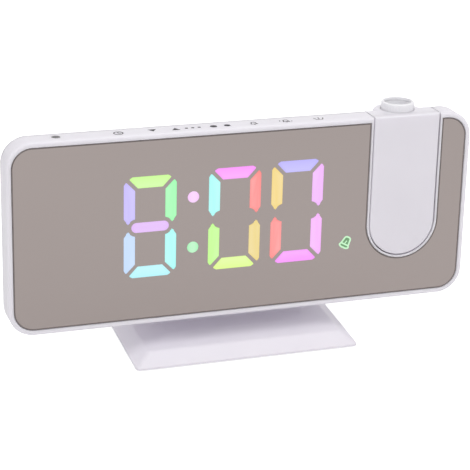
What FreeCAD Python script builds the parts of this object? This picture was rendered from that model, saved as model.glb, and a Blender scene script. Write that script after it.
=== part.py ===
"""A projection alarm clock with a mirror front, on a flared foot, with a swinging projector arm.

The case stands on a foot and leans back a little. A mirror panel fills its front, and the
segments of a large digital display light up behind the mirror. At the right a projector arm
hangs on two pins in a U-shaped slot that goes right through the case. A tube runs up the arm's
back, and a ribbed ring on top of it focuses the beam. The keys are on the back, just under the
top edge, each behind its printed mark.

Units are millimetres. In the row frame X is to the right seen from the front, Y to the back,
Z up, and the origin is on the table under the middle of the foot. Most pieces are drawn in the
case frame instead: its origin is the middle of the case's front face, and placed() leans them
back onto the foot.
"""
import FreeCAD, Part
import math
import os

V = FreeCAD.Vector
X_AXIS = V(1, 0, 0)
Y_AXIS = V(0, 1, 0)
Z_AXIS = V(0, 0, 1)

# Case: a flat box with rounded corners, a front frame and a rear cover
CASE_W = 186.0
CASE_H = 75.8
CASE_D = 11.3
CASE_R = 10.0
CASE_WALL = 2.0
FRONT_ROUND = 1.0
BACK_ROUND = 2.0
SEAM_Y = 9.0            # the frame ends and the rear cover begins here
COVER_T = 2.0
LIP_DEPTH = 1.4
LIP_T = 1.0
LEAN_DEG = 5.0

# Clearances
FIT = 0.05              # fixed pieces that sit in each other
SLIDE = 0.30            # pieces that move past each other
RUNNING = 0.05          # radial, a pin turning in its bore

# Mirror panel in the frame's recess, and the ledge that it rests on
MIRROR_T = 1.5
MIRROR_SUNK = 0.25
MIRROR_GAP = 0.25
LEDGE_T = 1.5
LEDGE_IN = 5.0

# Display digits, seen through the mirror. The front left free of the slot sets their spacing
DIGIT_W = 20.6
DIGIT_H = 40.5
DIGIT_Z = 1.3
PITCH_SHARE = 0.18      # from one digit to the next, as a share of the free front
COLON_SHARE = 0.239     # between the digits on either side of the colon
DISPLAY_SHIFT = -0.6    # the colon's distance from the middle of the free front
BAR_H = 4.55            # thickness of the top and bottom segments
BAR_OUTER_HALF = 6.9    # half the length of a bar's outer edge
BAR_TIP_HALF = 8.3      # half its length at the tips
BAR_INNER_HALF = 4.85   # half the length of its inner edge
BAR_TIP_DROP = 0.8      # the tips below the outer edge
MIDDLE_H = 3.95         # thickness of the middle segment
MIDDLE_HALF = 7.34      # half its length
POST_W = 4.39           # thickness of the upright segments
POST_TOP_DROP = 1.8     # a post's upper tip below the digit's top line
POST_TOP_IN = 0.85      # and in from its outer edge
POST_TOP_BEVEL = 1.35   # height of the bevel outside the upper tip
POST_MITRE_H = 3.65     # height of the mitre inside the upper tip
POST_LOW_Z = 1.24       # its lower tip above the digit's middle
POST_LOW_IN = 1.67      # and in from its outer edge
POST_LOW_BEVEL = 2.5
POST_HOLLOW_R = 3.5     # its lower end is hollowed round the middle segment's end
COLON_R = 2.25
COLON_RISE = 10.1       # each dot above or below the digits' middle
BELL_FROM_ARM = 24.1
BELL_Z = -12.6
BELL_SIZE = 5.6
BELL_TILT_DEG = 28.0
DIFFUSER_T = 1.0

# Display board behind the segment mask
MASK_T = 3.8
MASK_MARGIN = 5.0
MASK_SIDE_GAP = 0.5
BOARD_T = 1.2
BOARD_EDGE_GAP = 0.7
BOARD_SIDE_GAP = 0.5
BOARD_SCREW_IN_LEFT = 17.0
BOARD_SCREW_IN_RIGHT = 6.5
BOARD_SCREW_R = 1.0
POST_R = 2.2
LED_W = 1.6
LED_T = 0.7
CHIP_T = 1.5
CHIPS = [(-50.0, 6.0, 16.0, 12.0), (-18.0, 9.0, 10.0, 10.0), (10.0, 4.0, 6.0, 8.0),
         (-64.0, -12.0, 8.0, 5.0)]        # X, Z, width and height of each

# Keys on the back
KEY_NAMES = ("set", "down", "up", "dimmer", "alarm_one", "alarm_two", "projector")
KEY_FROM_ARM = 35.5     # the last key from the arm's middle
KEY_SHARE = 0.0944      # from one key to the next, as a share of the free front
KEY_Z = 31.6
KEY_W = 8.4
KEY_H = 4.2
KEY_CORNER_R = 1.6
KEY_EDGE_ROUND = 0.5
KEY_PROUD = 1.2
KEY_FLANGE = 0.9        # how far the flange reaches past the cap
KEY_FLANGE_T = 0.7
KEY_TRAVEL = 0.5
SWITCH_W = 4.5
SWITCH_H = 3.2

# Light sensor window in the top wall
SENSOR_FROM_SIDE = 20.0
SENSOR_Y = 5.2
SENSOR_R = 1.65

# Projector arm and its slot
ARM_FROM_SIDE = 27.5    # its middle from the case's side
ARM_W = 27.5
ARM_BOTTOM = -19.5
ARM_GAP = 0.45
ARM_WALL = 1.6
ARM_ROUND = 0.6
ARM_SPLIT_Y = 3.2
RIM_T = 0.75            # white edge of the slot, seen beside the mirror
COLLAR_T = 1.7          # the slot's wall behind the mirror
PIVOT_BELOW_TOP = 13.9
PIVOT_Y = 5.65
PIN_R = 2.0
PIN_IN_ARM = 3.0
PIN_WALL = 1.6
PIN_BOSS_R = 4.0
PIN_BOSS_T = 2.4

# Tube on the arm's back, and what is in it
TUBE_Y = 10.4
TUBE_R = 9.8
TUBE_ROUND = 1.6
TUBE_BOTTOM_Z = -8.0    # middle of the round end
BORE_BOTTOM_Z = -9.5
RING_R = 6.5
RING_GAP = 0.25         # between the ring and the tube's bore
RING_PROUD = 3.1
RING_DEEP = 6.0
RING_EDGE_ROUND = 0.4
RING_RIBS = 30
RIB_R = 0.18
RING_WALL = 0.75
RING_LIP_T = 1.0
RING_LIP_IN = 0.35      # how far the lip reaches in past the ring's bore
LENS_TUBE_GAP = 0.15    # between the ring's bore and the lens tube
LENS_TUBE_WALL = 0.65
LENS_TUBE_BOTTOM_Z = 8.0
CELL_GAP = 0.05         # the lens cell is threaded in the lens tube
CELL_WALL = 0.6
CELL_L = 9.0
CELL_DROP = 2.4         # lens cell's front below the ring's top, at rest
LENS_DEEP = 3.0         # back of the lens below the cell's front
LENS_EDGE_T = 1.4
LENS_CROWN = 0.9        # the lens's dome above its edge
LENS_DOME_R = 12.0
LENS_SHOULDER = 0.8
PROJECTOR_BOARD_T = 1.2
LAMP_W = 3.5
LAMP_T = 1.6
LCD_W = 8.4
LCD_T = 1.4
LCD_Z = 4.0
LCD_EDGE = 1.0
CONDENSER_Z = -3.0
CONDENSER_FLAT_T = 1.2
CONDENSER_CROWN = 2.6
CONDENSER_DOME_R = 9.0
CONDENSER_EDGE = 1.4

# Rear housing, low on the back
HOUSING_W = 96.0
HOUSING_TOP_Z = -4.0
HOUSING_D = 18.7        # behind the case's back face
HOUSING_R = 4.0
HOUSING_WALL = 1.8
HOUSING_ROUND = 2.0

# Speaker and its grille
SPEAKER_R = 13.5
SPEAKER_RIM_T = 1.4
SPEAKER_SEAT_T = 1.2    # wall of the ring that the speaker sits in
BASKET_D = 4.5
BASKET_T = 1.0
CONE_D = 3.2
CONE_T = 0.7
COIL_R = 3.0
MAGNET_R = 8.0
MAGNET_T = 4.0
GRILLE_RINGS = 3
GRILLE_PITCH = 3.0
GRILLE_HOLE_R = 0.8

# Sockets on the power board
USB_W = 13.1
USB_H = 5.7
USB_Z = -28.0
USB_SHELL_T = 0.35
USB_BASE_T = 1.5
USB_TONGUE_IN = 1.1
INLET_W = 9.0
INLET_H = 3.3
INLET_Z = -13.0
INLET_BASE_T = 6.0
INLET_TONGUE_T = 0.7
SOCKET_L = 14.0
SOCKET_SUNK = 0.1
PORT_GAP = 0.2          # round each socket in the housing's back
POWER_BOARD_W = 24.0
POWER_BOARD_T = 1.6
POWER_POST_R = 2.2
POWER_POST_HIGH = 11.0  # one post above the housing's middle, the other below it
POWER_POST_LOW = 1.0
POWER_SCREW_R = 0.9
POWER_SCREW_BITE = 6.0  # how far a screw goes into its post, past the board
POWER_HOLE_FLOOR = 3.0  # left between a post's screw hole and the housing's inner face

# Coin cell under a round cover
COIN_R = 10.0
COIN_T = 3.2
COIN_GAP = 0.2
CONTACT_R = 6.0
CONTACT_T = 0.6
CELL_SPARE = 1.6        # between the cell and the housing's inner face
COVER_R = 12.0
COVER_DISC_T = 1.5
COVER_LUG_OUT = 1.2
COVER_LUG_DEG = 50.0
COVER_TURN_DEG = 60.0
COVER_LUG_T = 1.0
COVER_GAP = 0.1
COIN_SLOT_HALF = 6.5
COIN_SLOT_W = 1.8
COIN_SLOT_D = 0.8
CUP_T = 0.8
CUP_FLOOR = 1.2
CUP_RIB_W = 12.0

# Foot: a plate with sloped edges, and a neck at its back
FOOT_W = 91.0
FOOT_D = 50.0
FOOT_SLOPE_IN = 5.8
FOOT_SLOPE_H = 4.8
FOOT_EDGE_H = 0.8
FOOT_CROWN = 1.2
FOOT_CROWN_IN = 11.0    # the crown's flat top inside the slopes' upper edge
FOOT_RIDGE_R = 3.0      # rounding between the slopes and the crown
FOOT_CORNER_R = 1.5
FOOT_WALL = 2.0
FOOT_LEDGE = 2.2
CASE_AHEAD = 9.4        # the case's lower front edge behind the foot's front edge
CASE_ABOVE = 15.5       # and above the table
NECK_W = 60.0
NECK_FRONT_Y = 3.0
NECK_D = 11.0
NECK_CORNER_R = 3.0
NECK_COVE_R = 4.0
NECK_COVE_STEPS = 5
NECK_SCREW_X = 13.0
NECK_BOSS_W = 8.0
NECK_BOSS_D = 5.2
NECK_BOSS_H = 5.5
NECK_SEAT = 5.0         # wall of the neck under the housing, at its screws
PAD_R = 4.5
PAD_T = 1.2
PAD_PROUD = 0.6
PAD_IN_X = 10.5
PAD_IN_Y = 9.0
PLATE_T = 1.5
WEIGHT_W = 60.0
WEIGHT_D = 28.0
WEIGHT_T = 1.6

# Screws
CASE_SCREW_R = 1.3
CASE_SCREW_IN = 4.5     # from the frame's inner walls to the corner screws
BOSS_R = 3.2
SCREW_HEAD_R = 2.2
SCREW_HEAD_T = 1.3
SCREW_CROSS_HALF = 1.2
SCREW_CROSS_W = 0.5
SCREW_CROSS_D = 0.6
SCREW_HOLE_GAP = 0.2

BEYOND = 20.0           # carries a cut well past the piece

# Worked out from the sizes above
TOP_Z = CASE_H / 2
CAVITY_W = CASE_W - 2 * CASE_WALL
CAVITY_H = CASE_H - 2 * CASE_WALL
CAVITY_R = CASE_R - CASE_WALL
COVER_IN_Y = CASE_D - COVER_T
MIRROR_BACK_Y = MIRROR_SUNK + MIRROR_T
LEDGE_BACK_Y = MIRROR_BACK_Y + LEDGE_T
BOARD_Y = MIRROR_BACK_Y + MASK_T
BOARD_BACK_Y = BOARD_Y + BOARD_T
BOARD_H = CAVITY_H - 2 * BOARD_EDGE_GAP
BOARD_SCREW_Z = CAVITY_H / 2 - LEDGE_IN / 2
ARM_X = CASE_W / 2 - ARM_FROM_SIDE
ARM_HALF = ARM_W / 2
SLOT_HALF = ARM_HALF + ARM_GAP
COLLAR_HALF = SLOT_HALF + COLLAR_T
PIN_END = COLLAR_HALF + PIN_BOSS_T
SLOT_ROUND_Z = ARM_BOTTOM + ARM_HALF
PIVOT_Z = TOP_Z - PIVOT_BELOW_TOP
BORE_R = RING_R + RING_GAP
RING_TOP_Z = TOP_Z + RING_PROUD
RING_BOTTOM_Z = TOP_Z - RING_DEEP
RING_BORE_R = RING_R - RING_WALL
RING_MOUTH_R = RING_BORE_R - RING_LIP_IN
LENS_TUBE_R = RING_BORE_R - LENS_TUBE_GAP
LENS_TUBE_BORE = LENS_TUBE_R - LENS_TUBE_WALL
CELL_R = LENS_TUBE_BORE - CELL_GAP
LENS_R = CELL_R - CELL_WALL
HOUSING_BACK_Y = CASE_D + HOUSING_D
HOUSING_IN_Y = HOUSING_BACK_Y - HOUSING_WALL
HOUSING_H = TOP_Z + HOUSING_TOP_Z
HOUSING_Z = (HOUSING_TOP_Z - TOP_Z) / 2
HOUSING_FLOOR_Z = HOUSING_WALL - TOP_Z
CASE_SCREW_X = CAVITY_W / 2 - CASE_SCREW_IN
CASE_SCREW_Z = CAVITY_H / 2 - CASE_SCREW_IN

# The front left free of the slot, and what is spread over it
FREE_LEFT = -CAVITY_W / 2
FREE_RIGHT = ARM_X - COLLAR_HALF
FREE_W = FREE_RIGHT - FREE_LEFT
COLON_X = (FREE_LEFT + FREE_RIGHT) / 2 + DISPLAY_SHIFT
DIGIT_PITCH = PITCH_SHARE * FREE_W
FIRST_DIGIT_FROM_COLON = COLON_SHARE * FREE_W / 2
DIGIT_XS = (COLON_X - FIRST_DIGIT_FROM_COLON - DIGIT_PITCH, COLON_X - FIRST_DIGIT_FROM_COLON,
            COLON_X + FIRST_DIGIT_FROM_COLON, COLON_X + FIRST_DIGIT_FROM_COLON + DIGIT_PITCH)
BELL_X = ARM_X - BELL_FROM_ARM
BOARD_LEFT = -(CASE_SCREW_X - BOSS_R - MASK_SIDE_GAP)
BOARD_RIGHT = ARM_X - PIN_END - BOARD_SIDE_GAP
BOARD_SCREW_LEFT = BOARD_LEFT + BOARD_SCREW_IN_LEFT
BOARD_SCREW_RIGHT = BOARD_RIGHT - BOARD_SCREW_IN_RIGHT
SENSOR_X = SENSOR_FROM_SIDE - CASE_W / 2
KEY_PITCH = KEY_SHARE * FREE_W
KEY_COUNT = len(KEY_NAMES)
KEY_XS = [ARM_X - KEY_FROM_ARM - (KEY_COUNT - 1 - i) * KEY_PITCH for i in range(KEY_COUNT)]

# Power board, coin cell and speaker stand side by side in the housing, with even gaps
COVER_REACH = COVER_R + COVER_LUG_OUT + SLIDE
SPEAKER_SEAT_R = SPEAKER_R + SPEAKER_SEAT_T
HOUSING_IN_HALF = HOUSING_W / 2 - HOUSING_WALL
HOUSING_GAP = (2 * HOUSING_IN_HALF - POWER_BOARD_W - 2 * COVER_REACH - 2 * SPEAKER_SEAT_R) / 4
SOCKET_X = -HOUSING_IN_HALF + HOUSING_GAP + POWER_BOARD_W / 2
SPEAKER_X = HOUSING_IN_HALF - HOUSING_GAP - SPEAKER_SEAT_R
CELL_BAY_X = SOCKET_X + POWER_BOARD_W / 2 + HOUSING_GAP + COVER_REACH
CUP_FRONT_Y = HOUSING_IN_Y - CELL_SPARE - COIN_T - CONTACT_T


def box(x0, x1, y0, y1, z0, z1):
    """A block between the given limits."""
    return Part.makeBox(x1 - x0, y1 - y0, z1 - z0, V(x0, y0, z0))


def rod(radius, start, end):
    """A round bar between two points."""
    run = end.sub(start)
    return Part.makeCylinder(radius, run.Length, start, run)


def along_y(radius, x, z, y0, y1):
    """A round bar parallel to Y."""
    return rod(radius, V(x, y0, z), V(x, y1, z))


def along_z(radius, x, y, z0, z1):
    """A round bar parallel to Z."""
    return rod(radius, V(x, y, z0), V(x, y, z1))


def edges_where(shape, test):
    """The edges whose two ends, and whose middle, all pass the test."""
    found = []
    for edge in shape.Edges:
        middle = edge.valueAt((edge.FirstParameter + edge.LastParameter) / 2)
        points = [vertex.Point for vertex in edge.Vertexes] + [middle]
        if all(test(point) for point in points):
            found.append(edge)
    return found


def rounded_plate(width, height, radius, y0, y1, x=0.0, z=0.0):
    """A plate square to Y, with its four corners rounded."""
    plate = box(x - width / 2, x + width / 2, y0, y1, z - height / 2, z + height / 2)
    corners = [e for e in plate.Edges if abs(e.tangentAt(e.FirstParameter).dot(Y_AXIS)) > 0.99]
    return plate.makeFillet(radius, corners)


def rounded_block(width, depth, radius, z0, z1, x=0.0, y=0.0):
    """A block standing on Z, with its four upright edges rounded."""
    block = box(x - width / 2, x + width / 2, y - depth / 2, y + depth / 2, z0, z1)
    corners = [e for e in block.Edges if abs(e.tangentAt(e.FirstParameter).dot(Z_AXIS)) > 0.99]
    return block.makeFillet(radius, corners)


def round_at_y(shape, y, radius):
    """Round the edges that lie in the plane at y."""
    return shape.makeFillet(radius, edges_where(shape, lambda p: abs(p.y - y) < 1e-4))


def tongue(half_width, y0, y1, top=TOP_Z):
    """The U outline of the arm and its slot: straight sides, open top, round bottom."""
    sides = box(ARM_X - half_width, ARM_X + half_width, y0, y1, SLOT_ROUND_Z, top)
    return sides.fuse(along_y(half_width, ARM_X, SLOT_ROUND_Z, y0, y1)).removeSplitter()


def prism_y(points, y0, y1):
    """A solid with the given XZ outline, from y0 to y1."""
    corners = [V(x, y0, z) for x, z in points]
    outline = Part.Face(Part.makePolygon(corners + corners[:1]))
    return outline.extrude(V(0, y1 - y0, 0))


def mirrored(points, x_sign=1, z_sign=1):
    """An outline flipped about the axes."""
    return [(x_sign * x, z_sign * z) for x, z in points]


def grown(points, by):
    """A clockwise outline with each of its sides moved outward by the same amount."""
    moved = []
    for i, (x, z) in enumerate(points):
        before = V(x - points[i - 1][0], 0, z - points[i - 1][1]).normalize()
        next_x, next_z = points[(i + 1) % len(points)]
        after = V(next_x - x, 0, next_z - z).normalize()
        out = V(-before.z - after.z, 0, before.x + after.x)
        reach = by / (1 + before.dot(after))
        moved.append((x + out.x * reach, z + out.z * reach))
    return moved


def screw(radius, head_y, tip_y, x, z):
    """A pan-head screw along Y whose head sits on the plane head_y, on the side away from tip_y."""
    out = 1 if head_y > tip_y else -1
    shank = along_y(radius, x, z, min(head_y, tip_y), max(head_y, tip_y))
    low, high = sorted((head_y, head_y + out * SCREW_HEAD_T))
    head = along_y(SCREW_HEAD_R, x, z, low, high)
    cross_y = head_y + out * (SCREW_HEAD_T - SCREW_CROSS_D)
    low, high = sorted((cross_y, head_y + out * (SCREW_HEAD_T + 1)))
    long = SCREW_CROSS_HALF
    thin = SCREW_CROSS_W / 2
    cross = [box(x - long, x + long, low, high, z - thin, z + thin),
             box(x - thin, x + thin, low, high, z - long, z + long)]
    return shank.fuse(head).removeSplitter().cut(cross)


def placed(shape):
    """Lean a shape from the case frame back onto the foot, in the row frame."""
    moved = shape.copy()
    moved.translate(V(0, 0, TOP_Z))
    moved.rotate(V(0, 0, 0), X_AXIS, -LEAN_DEG)
    moved.translate(V(0, CASE_AHEAD - FOOT_D / 2, CASE_ABOVE))
    return moved


NODES = {}


def keep(name, shape):
    """Store a node drawn in the row frame."""
    NODES[name] = shape


def keep_leaning(name, shape):
    """Store a node drawn in the case frame."""
    NODES[name] = placed(shape)


def group(solids):
    """Several separate solids that share one node."""
    return Part.makeCompound(solids)


def corner_screws():
    """The four places, in X and Z, of the screws that hold the rear cover."""
    return [(sx * CASE_SCREW_X, sz * CASE_SCREW_Z) for sx in (-1, 1) for sz in (-1, 1)]


def board_screws():
    """The four places, in X and Z, of the display board's screws."""
    return [(x, s * BOARD_SCREW_Z) for x in (BOARD_SCREW_LEFT, BOARD_SCREW_RIGHT) for s in (-1, 1)]


def make_front_frame():
    """The frame: side walls, the ledge behind the mirror, the slot's wall, bosses and posts."""
    outer = rounded_plate(CASE_W, CASE_H, CASE_R, 0, SEAM_Y)
    outer = round_at_y(outer, 0, FRONT_ROUND)
    recess = rounded_plate(CAVITY_W, CAVITY_H, CAVITY_R, -1, MIRROR_BACK_Y)
    window = rounded_plate(CAVITY_W - 2 * LEDGE_IN, CAVITY_H - 2 * LEDGE_IN,
                           CAVITY_R - LEDGE_IN, 0, LEDGE_BACK_Y + 1)
    cavity = rounded_plate(CAVITY_W, CAVITY_H, CAVITY_R, LEDGE_BACK_Y, SEAM_Y + 1)
    shell = outer.cut([recess, window, cavity])
    inside = rounded_plate(CAVITY_W + 1, CAVITY_H + 1, CAVITY_R, 0, SEAM_Y)
    rim = tongue(SLOT_HALF + RIM_T, 0, MIRROR_BACK_Y).common(inside)
    collar = tongue(COLLAR_HALF, MIRROR_BACK_Y, SEAM_Y).common(inside)
    bosses = [along_y(BOSS_R, x, z, MIRROR_BACK_Y, SEAM_Y) for x, z in corner_screws()]
    posts = [along_y(POST_R, x, z, LEDGE_BACK_Y, BOARD_Y) for x, z in board_screws()]
    pin_boss = rod(PIN_BOSS_R, V(ARM_X - PIN_END, PIVOT_Y, PIVOT_Z), V(ARM_X + PIN_END, PIVOT_Y, PIVOT_Z))
    pin_boss = pin_boss.common(box(0, CASE_W, MIRROR_BACK_Y, SEAM_Y, -TOP_Z, TOP_Z))
    shell = shell.fuse([rim, collar, pin_boss] + bosses + posts)
    pin_hole = rod(PIN_R + RUNNING, V(ARM_X - PIN_END - 1, PIVOT_Y, PIVOT_Z),
                   V(ARM_X + PIN_END + 1, PIVOT_Y, PIVOT_Z))
    slot = tongue(SLOT_HALF, -1, SEAM_Y + 1, TOP_Z + 1)
    pilots = [along_y(CASE_SCREW_R, x, z, LEDGE_BACK_Y, SEAM_Y + 1) for x, z in corner_screws()]
    pilots += [along_y(BOARD_SCREW_R, x, z, LEDGE_BACK_Y + 0.5, BOARD_Y + 1)
               for x, z in board_screws()]
    sensor = along_z(SENSOR_R + FIT, SENSOR_X, SENSOR_Y, TOP_Z - 2 * CASE_WALL, TOP_Z + 1)
    return shell.cut([slot, pin_hole, sensor] + pilots).removeSplitter()


def make_mirror_panel():
    """The mirror: a flat panel in the frame's recess, cut out round the arm's slot."""
    panel = rounded_plate(CAVITY_W - 2 * MIRROR_GAP, CAVITY_H - 2 * MIRROR_GAP,
                          CAVITY_R - MIRROR_GAP, MIRROR_SUNK, MIRROR_BACK_Y)
    return panel.cut(tongue(SLOT_HALF + RIM_T + MIRROR_GAP, -1, MIRROR_BACK_Y + 1, TOP_Z + 1))


def bar_outline():
    """The top segment of a digit about the digit's middle: long outside, short inside."""
    top = DIGIT_H / 2
    return [(-BAR_OUTER_HALF, top), (BAR_OUTER_HALF, top), (BAR_TIP_HALF, top - BAR_TIP_DROP),
            (BAR_INNER_HALF, top - BAR_H), (-BAR_INNER_HALF, top - BAR_H),
            (-BAR_TIP_HALF, top - BAR_TIP_DROP)]


def post_outline():
    """The upper right segment: mitred at its top, with a bevel outside each tip."""
    outer = DIGIT_W / 2
    inner = outer - POST_W
    tip_z = DIGIT_H / 2 - POST_TOP_DROP
    return [(inner, POST_LOW_Z), (inner, tip_z - POST_MITRE_H), (outer - POST_TOP_IN, tip_z),
            (outer, tip_z - POST_TOP_BEVEL), (outer, POST_LOW_Z + POST_LOW_BEVEL),
            (outer - POST_LOW_IN, POST_LOW_Z)]


def segment_prisms(x, y0, y1, grow=0.0):
    """A digit's seven segments about the place x, as prisms from y0 to y1."""
    end_r = MIDDLE_H / 2
    end_x = MIDDLE_HALF - end_r
    middle = box(-end_x, end_x, y0, y1, -end_r - grow, end_r + grow)
    for sign in (-1, 1):
        middle = middle.fuse(along_y(end_r + grow, sign * end_x, 0, y0, y1))
    solids = [middle.removeSplitter()]
    bar = grown(bar_outline(), grow)
    post = grown(post_outline(), grow)
    for z_sign in (-1, 1):
        solids.append(prism_y(mirrored(bar, 1, z_sign), y0, y1))
        for x_sign in (-1, 1):
            hollow = along_y(POST_HOLLOW_R - grow, x_sign * end_x, 0, y0 - 1, y1 + 1)
            solids.append(prism_y(mirrored(post, x_sign, z_sign), y0, y1).cut(hollow).Solids[0])
    for solid in solids:
        solid.translate(V(x, 0, DIGIT_Z))
    return solids


def bell_prism(y0, y1, grow=0.0):
    """The alarm mark: a small bell with a clapper, tilted to the right."""
    half = BELL_SIZE * 0.36 + grow
    dome = along_y(half, 0, BELL_SIZE * 0.12, y0, y1)
    skirt = prism_y([(-half * 1.25, -BELL_SIZE * 0.32 - grow), (half * 1.25, -BELL_SIZE * 0.32 - grow),
                     (half, BELL_SIZE * 0.12), (-half, BELL_SIZE * 0.12)], y0, y1)
    clapper = along_y(BELL_SIZE * 0.13 + grow, 0, -BELL_SIZE * 0.36, y0, y1)
    bell = dome.fuse([skirt, clapper]).removeSplitter()
    bell.rotate(V(0, 0, 0), Y_AXIS, BELL_TILT_DEG)
    bell.translate(V(BELL_X, 0, BELL_Z))
    return bell


def display_marks(y0, y1, grow=0.0):
    """Every lit shape of the display: four digits, the colon and the bell."""
    solids = []
    for x in DIGIT_XS:
        solids += segment_prisms(x, y0, y1, grow)
    for sign in (-1, 1):
        solids.append(along_y(COLON_R + grow, COLON_X, DIGIT_Z + sign * COLON_RISE, y0, y1))
    solids.append(bell_prism(y0, y1, grow))
    return solids


def make_display():
    """The black mask, the diffusers in its openings, the board and the lamps on it."""
    left = FREE_LEFT + LEDGE_IN + MASK_SIDE_GAP
    reach = DIGIT_H / 2 + MASK_MARGIN
    mask = box(left, BOARD_RIGHT, MIRROR_BACK_Y, BOARD_Y, DIGIT_Z - reach, DIGIT_Z + reach)
    openings = display_marks(MIRROR_BACK_Y - 1, BOARD_Y + 1, FIT)
    keep_leaning("segment_mask", mask.cut(openings))
    diffusers = display_marks(MIRROR_BACK_Y, MIRROR_BACK_Y + DIFFUSER_T)
    keep_leaning("segment_diffusers", group(diffusers))

    board = box(BOARD_LEFT, BOARD_RIGHT, BOARD_Y, BOARD_BACK_Y, -BOARD_H / 2, BOARD_H / 2)
    holes = [along_y(CASE_SCREW_R, x, z, BOARD_Y - 1, BOARD_BACK_Y + 1) for x, z in board_screws()]
    keep_leaning("display_board", board.cut(holes))

    lamps = []
    for mark in display_marks(MIRROR_BACK_Y, MIRROR_BACK_Y + DIFFUSER_T):
        middle = mark.Solids[0].CenterOfMass
        lamps.append(box(middle.x - LED_W / 2, middle.x + LED_W / 2, BOARD_Y - LED_T, BOARD_Y,
                         middle.z - LED_W / 4, middle.z + LED_W / 4))
    keep_leaning("display_lamps", group(lamps))

    chips = [box(x - w / 2, x + w / 2, BOARD_BACK_Y, BOARD_BACK_Y + CHIP_T, z - h / 2, z + h / 2)
             for x, z, w, h in CHIPS]
    keep_leaning("board_chips", group(chips))
    screws = [screw(BOARD_SCREW_R, BOARD_BACK_Y, LEDGE_BACK_Y + 0.8, x, z) for x, z in board_screws()]
    keep_leaning("board_screws", group(screws))


def make_keys():
    """The seven keys on the back, each its own node, and the switches that they press."""
    flange_back = COVER_IN_Y - 0.1
    flange_front = flange_back - KEY_FLANGE_T
    switch_back = flange_front - KEY_TRAVEL - 0.1
    switches = []
    for name, x in zip(KEY_NAMES, KEY_XS):
        cap = rounded_plate(KEY_W, KEY_H, KEY_CORNER_R, flange_front, CASE_D + KEY_PROUD, x, KEY_Z)
        cap = round_at_y(cap, CASE_D + KEY_PROUD, KEY_EDGE_ROUND)
        flange = box(x - KEY_W / 2 - KEY_FLANGE, x + KEY_W / 2 + KEY_FLANGE, flange_front, flange_back,
                     KEY_Z - KEY_H / 2 - KEY_FLANGE, KEY_Z + KEY_H / 2 + KEY_FLANGE)
        keep_leaning("key_" + name, cap.fuse(flange).removeSplitter())
        switches.append(box(x - SWITCH_W / 2, x + SWITCH_W / 2, BOARD_BACK_Y, switch_back,
                            KEY_Z - SWITCH_H / 2, KEY_Z + SWITCH_H / 2))
    keep_leaning("key_switches", group(switches))


def grille_holes():
    """Places, in X and Z, of the grille's holes: rings of a hexagonal pattern."""
    places = [(SPEAKER_X, HOUSING_Z)]
    for ring in range(1, GRILLE_RINGS + 1):
        for step in range(6 * ring):
            angle = 2 * math.pi * step / (6 * ring)
            places.append((SPEAKER_X + ring * GRILLE_PITCH * math.cos(angle),
                           HOUSING_Z + ring * GRILLE_PITCH * math.sin(angle)))
    return places


def sector(radius, y0, y1, middle_deg, width_deg):
    """A pie slice about the coin cell's axis, from y0 to y1."""
    slice_ = Part.makeCylinder(radius, y1 - y0, V(CELL_BAY_X, y0, HOUSING_Z), Y_AXIS, width_deg)
    # a part cylinder about Y starts at +Z, so it is turned to its middle angle
    slice_.rotate(V(CELL_BAY_X, 0, HOUSING_Z), Y_AXIS, middle_deg - width_deg / 2)
    return slice_


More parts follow.
